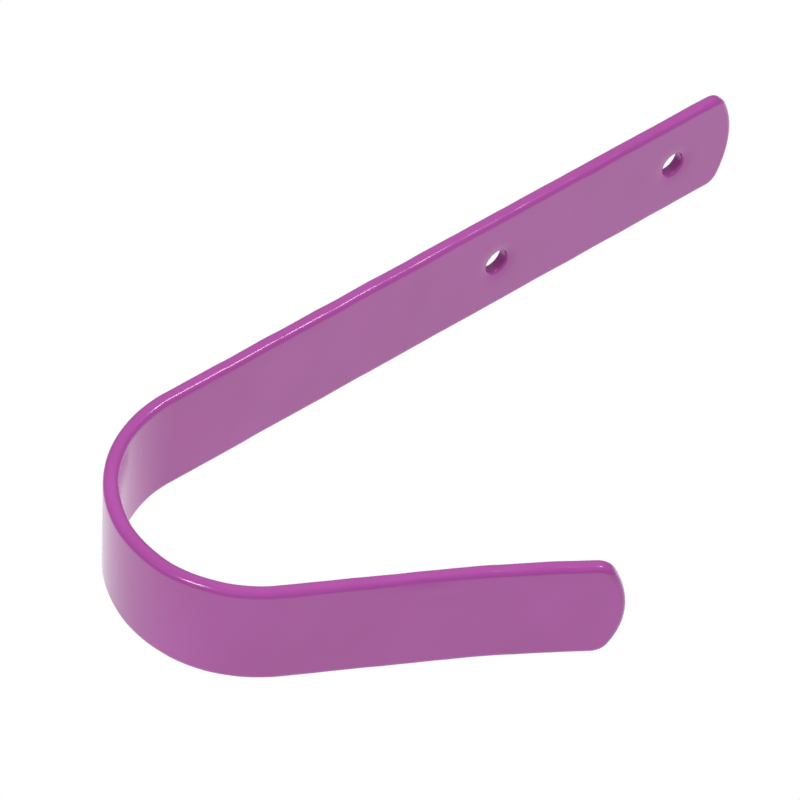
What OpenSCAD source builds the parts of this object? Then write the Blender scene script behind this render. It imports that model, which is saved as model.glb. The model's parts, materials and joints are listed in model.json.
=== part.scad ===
// Wall hook bent from one flat steel bar and coated all over in plastic. Millimetres.
// +Z is up the long arm, +X runs across the bar's width, and +Y points into the wall.
// The origin is midway between the two screw holes, on the coated face that rests against the wall.

/* [Steel bar] */
// Width of the flat bar
bar_w = 30; // [24:1:40]
// Thickness of the flat bar
bar_t = 3; // [3:0.5:5]
// Rounding along the bar's four long edges
bar_edge_r = 1; // [0.8:0.1:1.1]
// How far the top end bows out between its corners
top_bow = 4.5; // [1:0.5:5]
// How far the free tip bows out between its corners
tip_bow = 5; // [2:0.5:7]
// Rounding of the four corners of the coated ends
corner_r = 5; // [3:0.5:6]

/* [Plastic coating] */
// Thickness of the coating
coat_t = 0.5; // [0.4:0.1:0.8]
// Rounding along the coating's four long edges
coat_edge_r = 1.5; // [1.4:0.1:1.7]

/* [Screw holes] */
// Distance from the coated top end to the first hole
hole_from_top = 20.5; // [12:0.5:40]
// Distance between the two holes
hole_spacing = 61.5; // [30:0.5:90]
// Diameter drilled through the steel
drill_d = 8; // [7.5:0.5:9]
// Diameter left open inside the coating
hole_d = 7; // [5:0.5:7]

/* [Bends] */
// Straight length of the long arm, from the coated top end to the main bend
arm_len = 189.5; // [150:0.5:260]
// Radius of the main bend, along the middle of the bar
bend_r = 36; // [25:0.5:60]
// Angle that the bar turns through in the main bend
bend_a = 150.5; // [120:0.5:165]
// Straight length of the short arm, from the main bend to the outward set
short_len = 40; // [25:1:80]
// Radius of the outward set, along the middle of the bar
set_r = 355; // [200:5:500]
// Angle of the outward set
set_a = 5.1; // [2:0.1:8]
// Straight length from the outward set to the coated free tip
tip_len = 14; // [13:1:40]

/* [Hidden] */
$fn = 96;
coated_w = bar_w + 2 * coat_t;
coated_t = bar_t + 2 * coat_t;
hole_mid = hole_from_top + hole_spacing / 2;
through = coated_t + 2; // longer than any hole is deep
fuller = 0.01; // the bends stand this much proud of the straights all round
lap = 0.05; // and the straights run this far into the bends, so that each joint is a clean overlap

// Radius of the arc that spans the coated width and bows out by the given height
function bow_r(bow) = (pow(coated_w, 2) / 4 + pow(bow, 2)) / (2 * bow);

// Everything below is drawn in the bar's own frame: the bar starts at y = 0 and runs along +Y,
// its thickness is along X, and its width is along Z. An inset of 0 draws the outside of the
// coating, and an inset of coat_t draws the steel inside it.

// Cross-section of the bar: a rectangle with four rounded corners
module section(inset, edge_r) {
    half_t = coated_t / 2 - inset;
    half_w = coated_w / 2 - inset;
    square([2 * half_t, 2 * (half_w - edge_r)], center = true);
    square([2 * (half_t - edge_r), 2 * half_w], center = true);
    for (side = [-1, 1], edge = [-1, 1])
        translate([side * (half_t - edge_r), edge * (half_w - edge_r)]) circle(r = edge_r);
}

// A straight length of bar with square ends
module straight(length, inset, edge_r) {
    rotate([-90, 0, 0]) linear_extrude(length) section(inset, edge_r);
}

// A bend towards -X
module bend(radius, angle, inset, edge_r) {
    translate([-radius, 0, 0])
        rotate_extrude(angle = angle) translate([radius, 0]) section(inset, edge_r);
}

// A bend towards +X
module reverse_bend(radius, angle, inset, edge_r) {
    translate([radius, 0, 0]) rotate([0, 0, 180 - angle])
        rotate_extrude(angle = angle) translate([radius, 0]) section(inset, edge_r);
}

// Moves its children from the start of a bend to its end
module past_bend(radius, angle) {
    translate([-radius, 0, 0]) rotate([0, 0, angle]) translate([radius, 0, 0]) children();
}

// Outline of a bar whose end at x = 0 bows out, with a rounded corner on each side of the bow
module bowed_outline(length, bow, inset) {
    half_w = coated_w / 2 - inset;
    small_r = corner_r - inset;
    big_r = bow_r(bow) - inset;
    corner_y = half_w - small_r;
    reach = sqrt(pow(big_r - small_r, 2) - pow(corner_y, 2));
    corner_x = bow_r(bow) - reach;
    translate([corner_x, -half_w]) square([length - corner_x, 2 * half_w]);
    for (side = [-1, 1]) translate([corner_x, side * corner_y]) circle(r = small_r);
    intersection() {
        translate([bow_r(bow), 0]) circle(r = big_r, $fn = 4 * $fn);
        // a wedge from the bow's centre out past both corner centres
        translate([bow_r(bow), 0])
            polygon([[0, 0], [-2 * reach, 2 * corner_y], [-2 * reach, -2 * corner_y]]);
    }
}

// A straight length of bar whose end at y = 0 bows out
module bowed_end(length, bow, inset, edge_r) {
    intersection() {
        straight(length, inset, edge_r);
        rotate([90, 0, 90]) translate([0, 0, -through / 2])
            linear_extrude(through) bowed_outline(length, bow, inset);
    }
}

// The whole bent bar
module bent_bar(inset, edge_r) {
    bowed_end(arm_len + lap, top_bow, inset, edge_r);
    translate([0, arm_len, 0]) {
        bend(bend_r, bend_a, inset - fuller, edge_r + fuller);
        past_bend(bend_r, bend_a) {
            translate([0, -lap, 0]) straight(short_len + 2 * lap, inset, edge_r);
            translate([0, short_len, 0]) {
                reverse_bend(set_r, set_a, inset - fuller, edge_r + fuller);
                past_bend(-set_r, -set_a) translate([0, tip_len, 0]) mirror([0, 1, 0])
                    bowed_end(tip_len + lap, tip_bow, inset, edge_r);
            }
        }
    }
}

// The two screw holes, as cylinders to take away
module holes(diameter) {
    for (along = [0, 1]) translate([-through / 2, hole_from_top + along * hole_spacing, 0])
        rotate([0, 90, 0]) cylinder(d = diameter, h = through);
}

// The bare bar, bent and drilled
module drilled_bar() {
    difference() {
        bent_bar(coat_t, bar_edge_r);
        holes(drill_d);
    }
}

// Stands its children up against the wall, with the origin midway between the holes
module on_wall() {
    rotate([-90, 0, 90]) translate([-coated_t / 2, -hole_mid, 0]) children();
}

module steel_bar() {
    color("silver") on_wall() drilled_bar();
}

module plastic_coating() {
    color([0.63, 0.33, 0.59]) on_wall() difference() {
        bent_bar(0, coat_edge_r);
        holes(hole_d);
        drilled_bar();
    }
}

steel_bar();
plastic_coating();
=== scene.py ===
"""Looks of the plastic-coated wall hook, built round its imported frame.

The hook is one flat steel bar, bent into a J and coated all over in purple plastic. Sizes are in
millimetres, and a place on the bar is given in the bar's own terms:

    along   from the top end, along the middle of the bar
    across  from the middle of the bar's width, positive towards +X
    out     from the middle of the bar's thickness, positive on the inside of the hook
"""

import json
import logging
import math
from dataclasses import dataclass
from enum import Enum

import bmesh
import bpy
import numpy as np
from mathutils import Matrix, Vector


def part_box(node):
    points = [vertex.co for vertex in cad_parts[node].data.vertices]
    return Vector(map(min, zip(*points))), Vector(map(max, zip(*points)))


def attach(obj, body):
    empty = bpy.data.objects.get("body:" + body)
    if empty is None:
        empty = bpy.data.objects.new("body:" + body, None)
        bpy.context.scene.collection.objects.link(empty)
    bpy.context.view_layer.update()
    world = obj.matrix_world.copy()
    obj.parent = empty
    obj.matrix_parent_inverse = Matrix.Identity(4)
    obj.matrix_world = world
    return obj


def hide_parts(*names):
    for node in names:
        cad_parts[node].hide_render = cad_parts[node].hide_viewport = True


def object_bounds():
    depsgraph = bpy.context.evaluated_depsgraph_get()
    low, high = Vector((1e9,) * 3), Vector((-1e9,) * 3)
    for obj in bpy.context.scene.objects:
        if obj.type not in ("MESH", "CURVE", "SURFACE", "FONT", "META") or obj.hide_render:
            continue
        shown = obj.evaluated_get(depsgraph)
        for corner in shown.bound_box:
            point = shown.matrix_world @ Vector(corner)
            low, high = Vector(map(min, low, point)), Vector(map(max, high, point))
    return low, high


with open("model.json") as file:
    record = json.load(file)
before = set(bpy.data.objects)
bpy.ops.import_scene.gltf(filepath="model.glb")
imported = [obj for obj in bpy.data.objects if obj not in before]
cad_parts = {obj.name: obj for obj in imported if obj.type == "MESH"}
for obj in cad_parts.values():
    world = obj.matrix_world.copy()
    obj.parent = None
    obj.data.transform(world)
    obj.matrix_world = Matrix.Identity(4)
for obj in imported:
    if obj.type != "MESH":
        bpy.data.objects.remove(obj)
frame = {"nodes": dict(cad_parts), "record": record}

MM = 0.001
MERGE = 0.001 * MM
CAD_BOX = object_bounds()
CAD_COATING = "plastic_coating"
CAD_STEEL = "steel_bar"
ROOT_BODY = "root"
log = logging.getLogger("wall_hook")


# ---------------------------------------------------------------- small helpers

def linear_colour(hex_colour: str) -> tuple[float, float, float, float]:
    """Turns an sRGB hex colour into the linear colour that the shaders take.

    Args:
        hex_colour: six hex digits, such as "AF4DA0".

    Returns:
        Linear red, green, blue and an alpha of 1.
    """
    parts = [int(hex_colour[i:i + 2], 16) / 255 for i in (0, 2, 4)]
    linear = [p / 12.92 if p <= 0.04045 else ((p + 0.055) / 1.055) ** 2.4 for p in parts]
    return (linear[0], linear[1], linear[2], 1.0)


def add_node(tree: bpy.types.NodeTree, kind: str, settings: dict | None = None,
             links: dict | None = None) -> bpy.types.Node:
    """Adds a node, sets it up and links its inputs.

    Args:
        tree: the node tree that the node joins.
        kind: Blender's name of the node type.
        settings: attribute names, or input names or numbers, mapped to values.
        links: input names or numbers mapped to output sockets.

    Returns:
        The new node.
    """
    node = tree.nodes.new(kind)
    for name, value in (settings or {}).items():
        if isinstance(name, int) or name in node.inputs:
            node.inputs[name].default_value = value
        else:
            setattr(node, name, value)
    for name, socket in (links or {}).items():
        tree.links.new(socket, node.inputs[name])
    return node


def smooth_step(x: np.ndarray) -> np.ndarray:
    """Rises from 0 to 1 as x does, flat at both ends: 3x^2 - 2x^3, with x held within 0 and 1."""
    x = np.clip(x, 0.0, 1.0)
    return x * x * (3.0 - 2.0 * x)


# ---------------------------------------------------------------- the bar's shape

class Face(Enum):
    """The two broad faces of the bar, by the sign of their distance out."""

    INSIDE = 1.0
    OUTSIDE = -1.0


@dataclass(frozen=True)
class Stretch:
    """One straight or evenly bent length of the bar.

    Attributes:
        length: length along the middle of the bar.
        turn: angle that it turns towards the inside of the hook, in degrees.
    """

    length: float
    turn: float = 0.0


def bent(radius: float, turn: float) -> Stretch:
    """Gives the stretch that turns through an angle on a radius; a negative turn flares outwards."""
    return Stretch(radius * math.radians(abs(turn)), turn)


@dataclass(frozen=True)
class BarPath:
    """The middle line of the bar, in the Y-Z plane, from the top end to the free tip.

    Attributes:
        start: Y and Z of the top end.
        stretches: the lengths that follow each other down the bar.
    """

    start: tuple[float, float]
    stretches: tuple[Stretch, ...]

    @property
    def length(self) -> float:
        """Whole length of the bar."""
        return sum(s.length for s in self.stretches)

    def corners(self) -> np.ndarray:
        """Distances along at which one stretch ends and the next begins, ends included."""
        return np.cumsum([0.0] + [s.length for s in self.stretches])

    @staticmethod
    def _chord(heading: np.ndarray, curvature: np.ndarray, run: np.ndarray) -> np.ndarray:
        """Y and Z covered by a run at an even curvature.

        A run of length u turns by k*u, so its chord is u*sin(k*u/2)/(k*u/2) long and points half
        way between its first and last headings. A heading t points along (-sin t, -cos t).

        Args:
            heading: heading at the start of the run, in radians.
            curvature: turn for each millimetre, in radians.
            run: length of the run.

        Returns:
            The steps in Y and Z, on a last axis of two.
        """
        half_turn = curvature * run / 2
        size = run * np.sinc(half_turn / np.pi)
        middle = heading + half_turn
        return np.stack([-np.sin(middle) * size, -np.cos(middle) * size], -1)

    def at(self, along: np.ndarray) -> tuple[np.ndarray, np.ndarray]:
        """Finds places on the middle line.

        Args:
            along: distances along the bar.

        Returns:
            Y and Z of each place, and the heading there in radians from straight down.
        """
        lengths = np.array([s.length for s in self.stretches])
        turns = np.radians([s.turn for s in self.stretches])
        headings = np.concatenate([[0.0], np.cumsum(turns)[:-1]])
        curvatures = turns / lengths
        steps = self._chord(headings, curvatures, lengths)
        points = np.array(self.start) + np.concatenate([np.zeros((1, 2)), np.cumsum(steps, 0)[:-1]])
        edges = self.corners()
        part = np.clip(np.searchsorted(edges, along, side="right") - 1, 0, len(lengths) - 1)
        run = along - edges[part]
        place = points[part] + self._chord(headings[part], curvatures[part], run)
        return place, headings[part] + curvatures[part] * run


@dataclass(frozen=True)
class BowedEnd:
    """Outline of an end that bows out between two rounded corners.

    Attributes:
        half_width: half the bar's width.
        bow: how far the middle of the end stands past its corners.
        corner: radius of the corners.
    """

    half_width: float
    bow: float
    corner: float

    @property
    def arc(self) -> float:
        """Radius of the bow: (h^2 + b^2) / 2b for a half width h and a bow b."""
        return (self.half_width ** 2 + self.bow ** 2) / (2 * self.bow)

    @property
    def corner_centre(self) -> tuple[float, float]:
        """Where each corner's arc is centred: its distance from the tip, and from the middle."""
        across = self.half_width - self.corner
        reach = math.sqrt((self.arc - self.corner) ** 2 - across ** 2)
        return self.arc - reach, across

    def half_width_at(self, inward: np.ndarray) -> np.ndarray:
        """Half width of the bar at distances in from the tip.

        It follows the bow, sqrt(R^2 - (R - x)^2), up to where the corner's arc takes over, then
        the corner, c + sqrt(r^2 - (x0 - x)^2), and then stays at the full half width.

        Args:
            inward: distances in from the tip.

        Returns:
            The half width at each distance.
        """
        x0, c = self.corner_centre
        bow = np.sqrt(np.maximum(self.arc ** 2 - (self.arc - inward) ** 2, 0.0))
        corner = c + np.sqrt(np.maximum(self.corner ** 2 - (x0 - inward) ** 2, 0.0))
        meeting = self.arc * (1 - math.cos(math.atan2(c, self.arc - x0)))
        bowed = np.where(inward < meeting, bow, corner)
        return np.where(inward < x0, bowed, self.half_width)

    def depth(self, inward: np.ndarray, across: np.ndarray) -> np.ndarray:
        """Distance in from the outline.

        Beside a corner's arc this is r minus the distance from the corner's centre. Elsewhere it
        is the nearer of the bow, R minus the distance from the bow's centre, and the side.

        Args:
            inward: distances in from the tip.
            across: distances across.

        Returns:
            The depth of each place.
        """
        x0, c = self.corner_centre
        inward = np.minimum(inward, self.arc)
        side = self.half_width - np.abs(across)
        bow = self.arc - np.hypot(self.arc - inward, across)
        corner = self.corner - np.hypot(inward - x0, np.abs(across) - c)
        past = (x0 - self.arc) * (np.abs(across) - c) - c * (inward - x0) <= 0
        return np.where((inward < x0) & past, corner, np.minimum(side, bow))


@dataclass(frozen=True)
class Swell:
    """A soft oval bump or dent in one face: height * exp(-(distance / radius)^2).

    Attributes:
        face: the face that it is in.
        along: its middle.
        across: its middle.
        radii: its size along and across.
        height: how far it stands out; a dent is negative.
    """

    face: Face
    along: float
    across: float
    radii: tuple[float, float]
    height: float

    def lift(self, along: np.ndarray, across: np.ndarray) -> np.ndarray:
        """How far it raises the face at each place."""
        u = (along - self.along) / self.radii[0]
        v = (across - self.across) / self.radii[1]
        return self.height * np.exp(-(u * u + v * v))


@dataclass(frozen=True)
class Ripple:
    """Slow random waves: a sum of sines whose lengths, slants and phases are drawn once.

    Attributes:
        seed: seed of the draw.
        count: number of sines.
        lengths: shortest and longest wavelength.
        slant: how much a wave may run across the bar instead of along it, from 0 to 1.
    """

    seed: int
    count: int
    lengths: tuple[float, float]
    slant: float

    def at(self, along: np.ndarray, across: np.ndarray) -> np.ndarray:
        """Adds up the waves: the sum of the sines over the square root of their number.

        Args:
            along: distances along.
            across: distances across.

        Returns:
            The height at each place, mostly within -1 and 1.
        """
        draw = np.random.default_rng(self.seed)
        rate = 2 * math.pi / draw.uniform(*self.lengths, self.count)
        lean = draw.uniform(-self.slant, self.slant, self.count)
        phase = draw.uniform(0, 2 * math.pi, self.count)
        angle = along[..., None] * rate + across[..., None] * rate * lean + phase
        return np.sin(angle).sum(-1) / math.sqrt(self.count)


@dataclass(frozen=True)
class CoatedBar:
    """Sizes of the coated bar, and the surface of its plastic skin as a function of place.

    Attributes:
        path: the bar's middle line.
        width: width over the coating.
        thickness: thickness over the coating.
        top: outline of the top end.
        tip: outline of the free tip.
        holes: distance along of each screw hole.
        hole_radius: radius of the holes inside the coating.
        edge_round: radius of the quarter round along every edge.
        lip_round: radius of the quarter round into each hole.
        dish_depth: how far the inside and the outside face sink at a hole.
        dish_reach: distance from a hole's rim at which that sink has faded to about a third.
        end_fade: length of each end over which the ripples die out.
        face_wave: height of the faces' ripples.
        edge_wave: height of the long edges' ripples.
        face_ripple: shape of the faces' ripples.
        edge_ripple: shape of the long edges' ripples.
        ripple_shift: distances along that set the outside face's and the +X edge's ripples apart.
        edge_share: power of the distance across with which the edge ripple fades inwards.
        swells: bumps and dents.
    """

    path: BarPath
    width: float
    thickness: float
    top: BowedEnd
    tip: BowedEnd
    holes: tuple[float, ...]
    hole_radius: float
    edge_round: float = 1.5
    lip_round: float = 0.8
    dish_depth: tuple[float, float] = (0.30, 0.12)
    dish_reach: float = 1.9
    end_fade: float = 8.0
    face_wave: float = 0.035
    edge_wave: float = 0.06
    face_ripple: Ripple = Ripple(seed=11, count=9, lengths=(14.0, 46.0), slant=0.8)
    edge_ripple: Ripple = Ripple(seed=5, count=7, lengths=(7.0, 34.0), slant=0.0)
    ripple_shift: tuple[float, float] = (90.0, 211.0)
    edge_share: int = 5
    swells: tuple[Swell, ...] = ()

    def end_at(self, along: np.ndarray) -> tuple[np.ndarray, np.ndarray]:
        """Distance in from the nearer end, and whether that end is the top."""
        back = self.path.length - along
        return np.minimum(along, back), along <= back

    def half_width(self, along: np.ndarray) -> np.ndarray:
        """Half width of the skin at each distance along."""
        inward, at_top = self.end_at(along)
        return np.where(at_top, self.top.half_width_at(inward), self.tip.half_width_at(inward))

    def half_thickness(self, along: np.ndarray, across: np.ndarray, face: Face) -> np.ndarray:
        """Distance of one face from the middle of the bar's thickness.

        A flat face rolls over to the outline in a quarter round: at depth d it stands at
        t - r + sqrt(r^2 - (r - d)^2), for a half thickness t and a radius r. The same rule rolls
        it into each hole, where it also sinks in a shallow dish, s * exp(-(d / reach)^2).

        Args:
            along: distances along.
            across: distances across.
            face: the face.

        Returns:
            The distance out of each place, positive on both faces.
        """
        inward, at_top = self.end_at(along)
        depth = np.where(at_top, self.top.depth(inward, across), self.tip.depth(inward, across))
        depth = np.maximum(depth, 0.0)
        radius = self.edge_round
        half = self.thickness / 2
        height = half - radius + np.sqrt(radius ** 2 - np.maximum(radius - depth, 0.0) ** 2)
        sink = self.dish_depth[0] if face is Face.INSIDE else self.dish_depth[1]
        for hole in self.holes:
            gap = np.maximum(np.hypot(along - hole, across) - self.hole_radius, 0.0)
            lip = np.sqrt(self.lip_round ** 2 - np.maximum(self.lip_round - gap, 0.0) ** 2)
            height = np.minimum(height, half - self.lip_round + lip)
            height = height - sink * np.exp(-(gap / self.dish_reach) ** 2)
        return height

    def surface(self, along: np.ndarray, across: np.ndarray, out: np.ndarray,
                face: Face) -> np.ndarray:
        """Turns places on the skin into points in metres, with its waves and swells added.

        The faces move out by their ripple, which fades out at the holes, the ends and the edges.
        Each long edge moves sideways by the edge ripple, which fades inwards as a power of the
        distance across.

        Args:
            along: distances along the bar.
            across: distances across it.
            out: distances out from the middle of its thickness.
            face: the face that the places belong to.

        Returns:
            Points, with a last axis of three.
        """
        full = self.thickness / 2
        lean = np.clip(across / (self.width / 2), -1.0, 1.0)
        share = np.clip(np.abs(out) / full, 0.0, 1.0) ** 2
        calm = np.ones_like(along)
        for hole in self.holes:
            gap = np.hypot(along - hole, across) - self.hole_radius
            calm = calm * smooth_step(gap / (2 * self.dish_reach))
        inward, _ = self.end_at(along)
        fade = smooth_step(inward / self.end_fade)
        face_shift = self.ripple_shift[0] * (face is Face.OUTSIDE)
        edge_shift = self.ripple_shift[1] * (across > 0)
        wave = self.face_wave * self.face_ripple.at(along + face_shift, across)
        lift = wave * calm * fade
        for swell in self.swells:
            if swell.face is face:
                lift = lift + swell.lift(along, across)
        out = out + face.value * lift * share
        sway = self.edge_wave * self.edge_ripple.at(along + edge_shift, across) * fade
        across = across + sway * lean ** self.edge_share
        place, heading = self.path.at(along)
        y = place[..., 0] - np.cos(heading) * out
        z = place[..., 1] + np.sin(heading) * out
        return np.stack([across, y, z], -1) * MM


# ---------------------------------------------------------------- meshes

def quad_grid(rows: int, columns: int, first: int = 0, closed: bool = False) -> np.ndarray:
    """Corner numbers of the quads of a grid of points.

    Args:
        rows: number of rows of points.
        columns: number of points in a row.
        first: number of the grid's first point.
        closed: whether the last column joins the first.

    Returns:
        An array of rows - 1 by columns (or columns - 1) by 4 corner numbers.
    """
    number = first + np.arange(rows * columns).reshape(rows, columns)
    if closed:
        number = np.concatenate([number, number[:, :1]], 1)
    return np.stack([number[:-1, :-1], number[1:, :-1], number[1:, 1:], number[:-1, 1:]], -1)


def mesh_object(name: str, points: np.ndarray, quads: np.ndarray) -> bpy.types.Object:
    """Makes a smooth object of quads, with coincident points merged.

    Args:
        name: name of the object and its mesh.
        points: n by 3 points, in metres.
        quads: m by 4 corner numbers.

    Returns:
        The new object, linked to the scene.
    """
    mesh = bpy.data.meshes.new(name)
    mesh.vertices.add(len(points))
    mesh.vertices.foreach_set("co", points.astype(np.float32).ravel())
    mesh.loops.add(quads.size)
    mesh.loops.foreach_set("vertex_index", quads.astype(np.int32).ravel())
    mesh.polygons.add(len(quads))
    mesh.polygons.foreach_set("loop_start", np.arange(0, quads.size, 4, dtype=np.int32))
    mesh.update(calc_edges=True)
    work = bmesh.new()
    work.from_mesh(mesh)
    bmesh.ops.remove_doubles(work, verts=work.verts, dist=MERGE)
    work.to_mesh(mesh)
    work.free()
    mesh.polygons.foreach_set("use_smooth", np.ones(len(mesh.polygons), dtype=bool))
    mesh.update()
    thing = bpy.data.objects.new(name, mesh)
    bpy.context.scene.collection.objects.link(thing)
    return thing


@dataclass
class CoatingSkin:
    """The plastic skin: one closed surface over the faces, edges and ends, and through the holes.

    Attributes:
        bar: the coated bar that the skin covers.
        finish: the plastic.
        step: spacing of the grid on the faces.
        bend_step: spacing along the bends.
        collar: width of the band along each edge that holds its quarter round.
        collar_lines: number of grid lines in that band.
        end_reach: length of each end with a finer grid.
        end_lines: number of grid lines in that length.
        block: half size of the square of grid that is given over to each hole.
        lip_lines: number of rings in each hole's quarter round.
        apron_lines: number of rings from the square's edge to that round.
        apron_crowding: power by which those rings close up towards the round.
        wall_lines: number of steps down a hole's wall.
        fine: places along and across where the grid is finer, each with its half size.
        fine_lines: number of rings in each such place.
        least_gap: closest that two rings may be; the later one is left out.
    """

    bar: CoatedBar
    finish: "PlasticCoating"
    step: float = 0.95
    bend_step: float = 0.75
    collar: float = 2.1
    collar_lines: int = 9
    end_reach: float = 9.0
    end_lines: int = 26
    block: float = 6.2
    lip_lines: int = 8
    apron_lines: int = 6
    apron_crowding: float = 1.4
    wall_lines: int = 6
    fine: tuple[tuple[float, float, float], ...] = ()
    fine_lines: int = 13
    least_gap: float = 0.012

    def stations(self) -> np.ndarray:
        """Places the rings, which close up to each end by the square law.

        Returns:
            The distance along of each ring, from 0 to the bar's whole length.
        """
        total = self.bar.path.length
        near = self.end_reach * (np.arange(self.end_lines + 1) / self.end_lines) ** 2
        marks = self.bar.path.corners()
        marks = np.concatenate([[self.end_reach], marks[1:-1], [total - self.end_reach]])
        turning = [s.turn != 0 for s in self.bar.path.stretches]
        parts = [near, total - near]
        for start, stop, turns in zip(marks[:-1], marks[1:], turning):
            count = max(2, round((stop - start) / (self.bend_step if turns else self.step)))
            parts.append(np.linspace(start, stop, count + 1))
        for along, _, reach in self.fine:
            parts.append(np.linspace(along - reach, along + reach, self.fine_lines))
        places = np.unique(np.round(np.concatenate(parts), 5))
        places = places[np.concatenate([[True], np.diff(places) > self.least_gap])]
        places[-1] = total
        return places

    def lines(self) -> tuple[np.ndarray, np.ndarray]:
        """Weights of the grid lines across a face.

        A line lies at a*A + b*B, for a half width A and a collar of width B. The collar's lines
        close up to the edge as 1 - cos, and the others are evenly spaced between the collars.

        Returns:
            The weights a and b of each line.
        """
        inner = self.bar.width / 2 - self.collar
        count = 2 * round(inner / self.step)
        even = np.linspace(-1, 1, count + 1)[1:-1]
        extra = [np.linspace(across - reach, across + reach, 9) / inner
                 for _, across, reach in self.fine]
        even = np.unique(np.round(np.concatenate([even] + extra), 6))
        even = even[np.concatenate([[True], np.diff(even) > 0.004])]
        turn = np.linspace(0, math.pi / 2, self.collar_lines + 1)
        curl = 1 - np.cos(turn)
        weight_a = np.concatenate([-np.ones(len(curl)), even, np.ones(len(curl))])
        weight_b = np.concatenate([curl, -even, -curl[::-1]])
        return weight_a, weight_b

    def face_points(self, along: np.ndarray, across: np.ndarray, face: Face) -> np.ndarray:
        """Points of one face at the given places."""
        out = face.value * self.bar.half_thickness(along, across, face)
        return self.bar.surface(along, across, out, face)

    def hole_patch(self, edge: np.ndarray, hole: float) -> np.ndarray:
        """Points of the skin round and through one hole.

        Rings run in from the square block's edge to the lip, down the wall, and out again on the
        other face. On each ray a ring stands at a distance g from the hole's rim: the apron's
        rings share out the way from the edge to the lip, and the lip's follow r * (1 - cos).

        Args:
            edge: places along and across of the block's edge, anticlockwise.
            hole: distance along of the hole.

        Returns:
            A grid of points, one row for each place on the edge.
        """
        bar = self.bar
        ray = edge - np.array([hole, 0.0])
        reach = np.hypot(ray[:, 0], ray[:, 1])
        unit = ray / reach[:, None]
        gap = (reach - bar.hole_radius)[:, None]
        share = np.linspace(1, 0, self.apron_lines + 1)[None, :-1] ** self.apron_crowding
        apron = bar.lip_round + (gap - bar.lip_round) * share
        turn = np.linspace(math.pi / 2, 0, self.lip_lines + 1)
        lip = np.broadcast_to(bar.lip_round * (1 - np.cos(turn)), (len(edge), len(turn)))
        gaps = np.concatenate([apron, lip], 1)
        radius = bar.hole_radius + gaps
        along = hole + unit[:, :1] * radius
        across = unit[:, 1:] * radius
        front = self.face_points(along, across, Face.INSIDE)
        back = self.face_points(along, across, Face.OUTSIDE)
        drop = np.linspace(0, 1, self.wall_lines + 1)[1:-1]
        rim, low = front[:, -1:], back[:, -1:]
        wall = rim + (low - rim) * drop[None, :, None]
        return np.concatenate([front, wall, back[:, ::-1]], 1)

    def build(self) -> bpy.types.Object:
        """Builds the skin.

        The rings are closed loops round the bar, front face and then back face. The first and the
        last have no width, so they close the skin at each tip. The quads of a square block round
        each hole are left out on both faces, and the hole's patch fills them.

        Returns:
            The skin's object.
        """
        along_rings = self.stations()
        weight_a, weight_b = self.lines()
        half = self.bar.half_width(along_rings)
        half[[0, -1]] = 0.0
        collar = np.minimum(self.collar, half / 2)
        across = half[:, None] * weight_a + collar[:, None] * weight_b
        along = np.broadcast_to(along_rings[:, None], across.shape)
        front = self.face_points(along, across, Face.INSIDE)
        back = self.face_points(along, across, Face.OUTSIDE)
        rings = np.concatenate([front, back[:, ::-1]], 1)
        rows, columns = rings.shape[:2]
        wide = across.shape[1]
        quads = quad_grid(rows, columns, closed=True)
        keep = np.ones(quads.shape[:2], dtype=bool)
        points = [rings.reshape(-1, 3)]
        extra = []
        used = rows * columns
        middle = across[rows // 2]
        j0 = int(np.argmin(np.abs(middle + self.block)))
        j1 = int(np.argmin(np.abs(middle - self.block)))
        for hole in self.bar.holes:
            i0 = int(np.argmin(np.abs(along_rings - hole + self.block)))
            i1 = int(np.argmin(np.abs(along_rings - hole - self.block)))
            keep[i0:i1, j0:j1] = False
            keep[i0:i1, columns - 1 - j1:columns - 1 - j0] = False
            i = np.concatenate([np.arange(i0, i1), np.full(j1 - j0, i1),
                                np.arange(i1, i0, -1), np.full(j1 - j0, i0)])
            j = np.concatenate([np.full(i1 - i0, j0), np.arange(j0, j1),
                                np.full(i1 - i0, j1), np.arange(j1, j0, -1)])
            patch = self.hole_patch(np.stack([along[i, j], across[i, j]], -1), hole)
            count, depth = patch.shape[:2]
            patch_quads = quad_grid(depth, count, first=used, closed=True)
            points.append(np.swapaxes(patch, 0, 1).reshape(-1, 3))
            extra.append(patch_quads[..., ::-1].reshape(-1, 4))
            used += count * depth
        log.info("coating: %d rings of %d points, faces %d lines wide", rows, columns, wide)
        all_quads = np.concatenate([quads[keep].reshape(-1, 4)] + extra)
        skin = mesh_object("coating_skin", np.concatenate(points), all_quads)
        skin.data.materials.append(self.finish.material())
        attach(skin, ROOT_BODY)
        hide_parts(CAD_COATING)
        return skin


# ---------------------------------------------------------------- finishes

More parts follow.
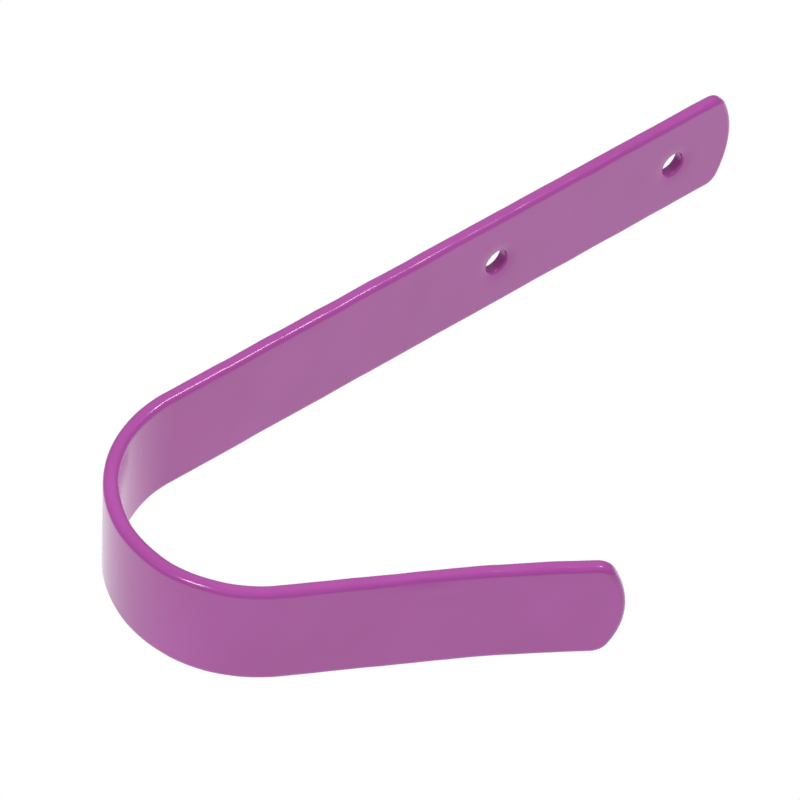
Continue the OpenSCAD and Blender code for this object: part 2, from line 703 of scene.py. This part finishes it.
@dataclass(frozen=True)
class PlasticCoating:
    """Purple thermoplastic, fused on the hot bar in a fluidised bed.

    It flows as it fuses, so the eye sees a smooth, fairly glossy skin with crisp small highlights,
    a faint orange peel and very slight drifts of shade. Nylon's IOR is 1.53 and this takes 1.5. A
    cured coating's roughness is about 0.1 to 0.3. It isn't metallic.

    Attributes:
        colour: the usual shade.
        deep_colour: the shade at the other end of the drift.
        roughness: least roughness.
        roughness_drift: how much rougher it is at the other end of the drift.
        ior: index of refraction.
        peel_size: crest to crest of the orange peel, in mm.
        peel_height: its height, in mm.
        drift_size: size of the patches of shade, in mm.
        drift_range: part of the drift's noise that is spread over the whole change of shade.
    """

    colour: str = "C656BA"
    deep_colour: str = "C052B2"
    roughness: float = 0.16
    roughness_drift: float = 0.05
    ior: float = 1.5
    peel_size: float = 1.5
    peel_height: float = 0.004
    drift_size: float = 24.0
    drift_range: tuple[float, float] = (0.3, 0.7)

    def material(self) -> bpy.types.Material:
        """Makes the material."""
        material = bpy.data.materials.new("fused_polyamide_coating_purple")
        material.use_nodes = True
        tree = material.node_tree
        tree.nodes.clear()
        place = add_node(tree, "ShaderNodeTexCoord").outputs["Object"]
        drift = add_node(tree, "ShaderNodeTexNoise",
                         {"Scale": 1 / (self.drift_size * MM), "Detail": 2.0, "Roughness": 0.5},
                         {"Vector": place}).outputs["Fac"]
        ramp = add_node(tree, "ShaderNodeValToRGB", links={"Fac": drift})
        ramp.color_ramp.elements[0].position = self.drift_range[0]
        ramp.color_ramp.elements[0].color = linear_colour(self.deep_colour)
        ramp.color_ramp.elements[1].position = self.drift_range[1]
        ramp.color_ramp.elements[1].color = linear_colour(self.colour)
        gloss = add_node(tree, "ShaderNodeMapRange",
                         {"From Min": self.drift_range[0], "From Max": self.drift_range[1],
                          "To Min": self.roughness,
                          "To Max": self.roughness + self.roughness_drift},
                         {"Value": drift}).outputs["Result"]
        peel = add_node(tree, "ShaderNodeTexNoise",
                        {"Scale": 1 / (self.peel_size * MM), "Detail": 1.0, "Roughness": 0.4},
                        {"Vector": place}).outputs["Fac"]
        bump = add_node(tree, "ShaderNodeBump",
                        {"Strength": 1.0, "Distance": self.peel_height * MM},
                        {"Height": peel}).outputs["Normal"]
        shader = add_node(tree, "ShaderNodeBsdfPrincipled", {"IOR": self.ior},
                          {"Base Color": ramp.outputs["Color"], "Roughness": gloss,
                           "Normal": bump})
        add_node(tree, "ShaderNodeOutputMaterial", links={"Surface": shader.outputs["BSDF"]})
        return material


@dataclass(frozen=True)
class HotRolledSteel:
    """Mild steel bar, hot rolled, as it comes from the mill.

    The eye sees a dull grey metal with darker, rougher patches of mill scale, drawn out along Z,
    as the rolls leave them along the straight arm, and a fine grain. It is metallic, with the
    default IOR. The bare metal's roughness is about 0.4 to 0.5 and the scale's about 0.6 to 0.7.

    Attributes:
        bare: colour of the bare metal.
        scale: colour of the mill scale.
        roughness: roughness of the bare metal.
        scale_roughness: roughness of the mill scale.
        patch_size: size of the patches, in mm.
        drawn_out: how many times finer the patches are along Z; under 1 draws them out.
        patch_range: part of the patches' noise over which scale gives way to bare metal.
        grain_size: size of the grain, in mm.
        grain_height: its height, in mm.
    """

    bare: str = "8E8A85"
    scale: str = "4C4A4B"
    roughness: float = 0.45
    scale_roughness: float = 0.65
    patch_size: float = 6.0
    drawn_out: float = 0.2
    patch_range: tuple[float, float] = (0.42, 0.58)
    grain_size: float = 0.4
    grain_height: float = 0.01

    def material(self) -> bpy.types.Material:
        """Makes the material."""
        material = bpy.data.materials.new("hot_rolled_mild_steel")
        material.use_nodes = True
        tree = material.node_tree
        tree.nodes.clear()
        place = add_node(tree, "ShaderNodeTexCoord").outputs["Object"]
        drawn = add_node(tree, "ShaderNodeMapping", {"Scale": (1.0, 1.0, self.drawn_out)},
                         {"Vector": place}).outputs["Vector"]
        patches = add_node(tree, "ShaderNodeTexNoise",
                           {"Scale": 1 / (self.patch_size * MM), "Detail": 5.0},
                           {"Vector": drawn}).outputs["Fac"]
        ramp = add_node(tree, "ShaderNodeValToRGB", links={"Fac": patches})
        ramp.color_ramp.elements[0].position = self.patch_range[0]
        ramp.color_ramp.elements[0].color = linear_colour(self.scale)
        ramp.color_ramp.elements[1].position = self.patch_range[1]
        ramp.color_ramp.elements[1].color = linear_colour(self.bare)
        rough = add_node(tree, "ShaderNodeMapRange",
                         {"From Min": self.patch_range[0], "From Max": self.patch_range[1],
                          "To Min": self.scale_roughness, "To Max": self.roughness},
                         {"Value": patches}).outputs["Result"]
        grain = add_node(tree, "ShaderNodeTexNoise",
                         {"Scale": 1 / (self.grain_size * MM), "Detail": 2.0},
                         {"Vector": place}).outputs["Fac"]
        bump = add_node(tree, "ShaderNodeBump",
                        {"Strength": 1.0, "Distance": self.grain_height * MM},
                        {"Height": grain}).outputs["Normal"]
        shader = add_node(tree, "ShaderNodeBsdfPrincipled", {"Metallic": 1.0},
                          {"Base Color": ramp.outputs["Color"], "Roughness": rough,
                           "Normal": bump})
        add_node(tree, "ShaderNodeOutputMaterial", links={"Surface": shader.outputs["BSDF"]})
        return material


@dataclass(frozen=True)
class StudioPaper:
    """Uncoated white background paper, as it comes off the roll.

    The eye sees an even, matt white with hardly any shine and a faint cloudiness. Paper's IOR is
    about 1.5, the default, and its roughness about 0.9. It isn't metallic.

    Attributes:
        white: its usual white.
        shade: the white of its slightly darker clouds.
        roughness: its roughness.
        cloud_size: size of the clouds, in mm.
    """

    white: str = "FBFBFB"
    shade: str = "F6F6F5"
    roughness: float = 0.9
    cloud_size: float = 40.0

    def material(self) -> bpy.types.Material:
        """Makes the material."""
        material = bpy.data.materials.new("matt_white_background_paper")
        material.use_nodes = True
        tree = material.node_tree
        tree.nodes.clear()
        place = add_node(tree, "ShaderNodeTexCoord").outputs["Object"]
        tone = add_node(tree, "ShaderNodeTexNoise",
                        {"Scale": 1 / (self.cloud_size * MM), "Detail": 3.0},
                        {"Vector": place}).outputs["Fac"]
        ramp = add_node(tree, "ShaderNodeValToRGB", links={"Fac": tone})
        ramp.color_ramp.elements[0].color = linear_colour(self.shade)
        ramp.color_ramp.elements[1].color = linear_colour(self.white)
        shader = add_node(tree, "ShaderNodeBsdfPrincipled", {"Roughness": self.roughness},
                          {"Base Color": ramp.outputs["Color"]})
        add_node(tree, "ShaderNodeOutputMaterial", links={"Surface": shader.outputs["BSDF"]})
        return material


# ---------------------------------------------------------------- the hook

@dataclass
class WallHook:
    """The hook's two pieces: the coating's skin, and the steel bar sealed inside it.

    Attributes:
        thickness: thickness over the coating.
        arm: straight length of the long arm.
        bend: radius and angle of the main bend.
        short: straight length of the short arm before its outward set.
        outward_set: radius and angle of the outward set.
        last: straight length after the set.
        width: width over the coating.
        top_bow: bow of the top end.
        tip_bow: bow of the free tip.
        corner: radius of the ends' corners.
        pimple: a tiny bump, for which the skin's grid is made finer.
        pimple_reach: half size of that finer grid, in radii of the bump.
        swells: the other bumps and dents.
    """

    thickness: float = 4.0
    arm: float = 189.5
    bend: tuple[float, float] = (36.0, 150.5)
    short: float = 40.0
    outward_set: tuple[float, float] = (355.0, 5.1)
    last: float = 14.0
    width: float = 31.0
    top_bow: float = 4.5
    tip_bow: float = 5.0
    corner: float = 5.0
    pimple: Swell = Swell(Face.OUTSIDE, 296.0, 8.5, (0.22, 0.22), 0.13)
    pimple_reach: float = 3.0
    swells: tuple[Swell, ...] = (
        Swell(Face.OUTSIDE, 322.5, -9.8, (6.5, 2.6), -0.10),
        Swell(Face.OUTSIDE, 319.0, -14.6, (8.0, 1.6), -0.35),
        Swell(Face.OUTSIDE, 362.0, -6.5, (2.4, 0.8), -0.05),
        Swell(Face.INSIDE, 175.0, -14.4, (0.9, 0.7), -0.12),
        Swell(Face.INSIDE, 171.5, -14.4, (0.7, 0.7), -0.10),
        Swell(Face.INSIDE, 224.0, -11.0, (2.2, 9.0), -0.05),
    )

    def coated_bar(self) -> CoatedBar:
        """Places the bar by the frame: its top from the coating's box, its holes from the mount.

        Returns:
            The coated bar.
        """
        top_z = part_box(CAD_COATING)[1][2] / MM
        mount = next(m for m in frame["record"]["mounts"] if m["name"] == "screw_holes")
        half_gap = mount["dims"]["spacing_y_mm"] / 2
        middle = mount["pos_m"][2] / MM
        path = BarPath((-self.thickness / 2, top_z), (
            Stretch(self.arm), bent(*self.bend), Stretch(self.short),
            bent(self.outward_set[0], -self.outward_set[1]), Stretch(self.last)))
        return CoatedBar(
            path=path, width=self.width, thickness=self.thickness,
            top=BowedEnd(self.width / 2, self.top_bow, self.corner),
            tip=BowedEnd(self.width / 2, self.tip_bow, self.corner),
            holes=(top_z - middle - half_gap, top_z - middle + half_gap),
            hole_radius=mount["dims"]["hole_r_mm"],
            swells=self.swells + (self.pimple,))

    def build(self) -> list[bpy.types.Object]:
        """Builds the skin and dresses the steel.

        Returns:
            The skin and the steel bar.
        """
        reach = self.pimple_reach * self.pimple.radii[0]
        spot = (self.pimple.along, self.pimple.across, reach)
        skin = CoatingSkin(self.coated_bar(), PlasticCoating(), fine=(spot,))
        steel = frame["nodes"][CAD_STEEL]
        steel.data.materials.clear()
        steel.data.materials.append(HotRolledSteel().material())
        return [skin.build(), steel]


# ---------------------------------------------------------------- the studio

@dataclass(frozen=True)
class Viewpoint:
    """The camera: a long lens that looks up the hook's side, rolled so that -X is up.

    Attributes:
        aim: the point in the middle of the view.
        azimuth: side that it looks from, in degrees; 0 looks along +Y.
        elevation: height that it looks from, in degrees.
        roll: turn of its right-hand side towards its top, in degrees.
        distance: distance from the aim.
        lens: focal length.
        sensor: width of the sensor.
        clip: nearest and farthest distance drawn, in metres.
    """

    aim: tuple[float, float, float] = (4.36, -23.78, -79.92)
    azimuth: float = -54.599
    elevation: float = -27.922
    roll: float = 60.680
    distance: float = 1343.6
    lens: float = 237.25
    sensor: float = 36.0
    clip: tuple[float, float] = (0.05, 60.0)

    def build(self) -> bpy.types.Object:
        """Makes the scene's camera.

        Returns:
            The camera.
        """
        a, e, r = (math.radians(x) for x in (self.azimuth, self.elevation, self.roll))
        back = Vector((math.sin(a) * math.cos(e), -math.cos(a) * math.cos(e), math.sin(e)))
        level = (-back).cross(Vector((0, 0, 1))).normalized()
        rise = back.cross(level)
        right = level * math.cos(r) + rise * math.sin(r)
        up = rise * math.cos(r) - level * math.sin(r)
        data = bpy.data.cameras.new("camera")
        data.lens = self.lens
        data.sensor_width = self.sensor
        data.clip_start = self.clip[0]
        data.clip_end = self.clip[1]
        camera = bpy.data.objects.new("camera", data)
        turn = Matrix((right, up, back)).transposed().to_4x4()
        spot = (Vector(self.aim) + back * self.distance) * MM
        camera.matrix_world = Matrix.Translation(spot) @ turn
        bpy.context.scene.collection.objects.link(camera)
        bpy.context.scene.camera = camera
        return camera


@dataclass(frozen=True)
class SoftLight:
    """A round studio light that faces the hook.

    Attributes:
        name: its name.
        place: where it stands, in metres.
        size: diameter, in metres.
        power: power, in watts.
    """

    name: str
    place: tuple[float, float, float]
    size: float
    power: float

    def build(self, middle: Vector) -> bpy.types.Object:
        """Makes the light.

        Args:
            middle: the point that it faces, in metres.

        Returns:
            The light.
        """
        data = bpy.data.lights.new(self.name, "AREA")
        data.shape = "DISK"
        data.size = self.size
        data.energy = self.power
        light = bpy.data.objects.new(self.name, data)
        light.location = self.place
        light.rotation_mode = "QUATERNION"
        light.rotation_quaternion = (light.location - middle).to_track_quat("Z", "Y")
        bpy.context.scene.collection.objects.link(light)
        return light


@dataclass(frozen=True)
class Studio:
    """A white room: a pale floor, soft light from all round, and three round lights.

    The room is dim on one side and bright on the other, with a soft change between them.

    Attributes:
        floor_drop: how far the floor is below the hook's middle, in metres.
        floor_side: side of the floor, in metres.
        glow_axis: direction of the room's bright side.
        glow_span: cosines from that direction at which the dim side ends and the bright one starts.
        glow: brightness of the dim side and of the bright side.
        backdrop: brightness of the room where it is seen directly.
        lights: the round lights.
    """

    floor_drop: float = 1.1
    floor_side: float = 40.0
    glow_axis: tuple[float, float, float] = (0.99, 0.0, 0.14)
    glow_span: tuple[float, float] = (0.10, 0.60)
    glow: tuple[float, float] = (0.30, 1.22)
    backdrop: float = 1.0
    lights: tuple[SoftLight, ...] = (
        SoftLight("soft_light_high", (-0.81, -0.12, 0.27), 0.20, 2.0),
        SoftLight("soft_light_low", (-0.77, -0.05, -0.73), 0.20, 3.5),
        SoftLight("soft_light_behind", (-0.94, 0.60, 0.55), 1.0, 0.6),
    )

    def floor(self, middle: Vector) -> bpy.types.Object:
        """Makes the floor: a flat square.

        Only the eye sees it, so that the room's light reaches the hook from below as well.

        Args:
            middle: the hook's middle, in metres.

        Returns:
            The floor.
        """
        side = np.array([-0.5, 0.5]) * self.floor_side
        x, y = np.meshgrid(side, side, indexing="ij")
        z = np.full_like(x, middle.z - self.floor_drop)
        points = np.stack([x, y, z], -1).reshape(-1, 3)
        floor = mesh_object("floor", points, quad_grid(2, 2).reshape(-1, 4))
        floor.data.materials.append(StudioPaper().material())
        floor.visible_diffuse = False
        floor.visible_glossy = False
        return floor

    def surroundings(self) -> None:
        """Sets the room's light, which eases from dim to bright along an axis; the eye sees white."""
        world = bpy.data.worlds.new("white_room")
        world.use_nodes = True
        bpy.context.scene.world = world
        tree = world.node_tree
        tree.nodes.clear()
        way = add_node(tree, "ShaderNodeTexCoord").outputs["Generated"]
        along = add_node(tree, "ShaderNodeVectorMath",
                         {"operation": "DOT_PRODUCT", 1: self.glow_axis}, {0: way})
        level = add_node(tree, "ShaderNodeMapRange",
                         {"interpolation_type": "SMOOTHSTEP",
                          "From Min": self.glow_span[0], "From Max": self.glow_span[1],
                          "To Min": self.glow[0], "To Max": self.glow[1]},
                         {"Value": along.outputs["Value"]})
        room = add_node(tree, "ShaderNodeBackground", {"Color": (1, 1, 1, 1)},
                        {"Strength": level.outputs["Result"]})
        paper = add_node(tree, "ShaderNodeBackground",
                         {"Color": (1, 1, 1, 1), "Strength": self.backdrop})
        eye = add_node(tree, "ShaderNodeLightPath").outputs["Is Camera Ray"]
        mixed = add_node(tree, "ShaderNodeMixShader", links={
            "Fac": eye, 1: room.outputs["Background"], 2: paper.outputs["Background"]})
        add_node(tree, "ShaderNodeOutputWorld", links={"Surface": mixed.outputs["Shader"]})

    def build(self) -> None:
        """Builds the room round the hook."""
        low, high = CAD_BOX
        middle = (low + high) / 2
        self.surroundings()
        self.floor(middle)
        for light in self.lights:
            light.build(middle)
            log.info("light %s", light.name)
        bpy.context.scene.view_settings.view_transform = "Standard"


def main() -> None:
    """Builds the camera, the hook and the studio in order."""
    logging.basicConfig(level=logging.INFO, format="%(name)s: %(message)s")
    Viewpoint().build()
    for piece in WallHook().build():
        log.info("piece %s: %d faces", piece.name, len(piece.data.polygons))
    Studio().build()


if __name__ == "__main__":
    main()
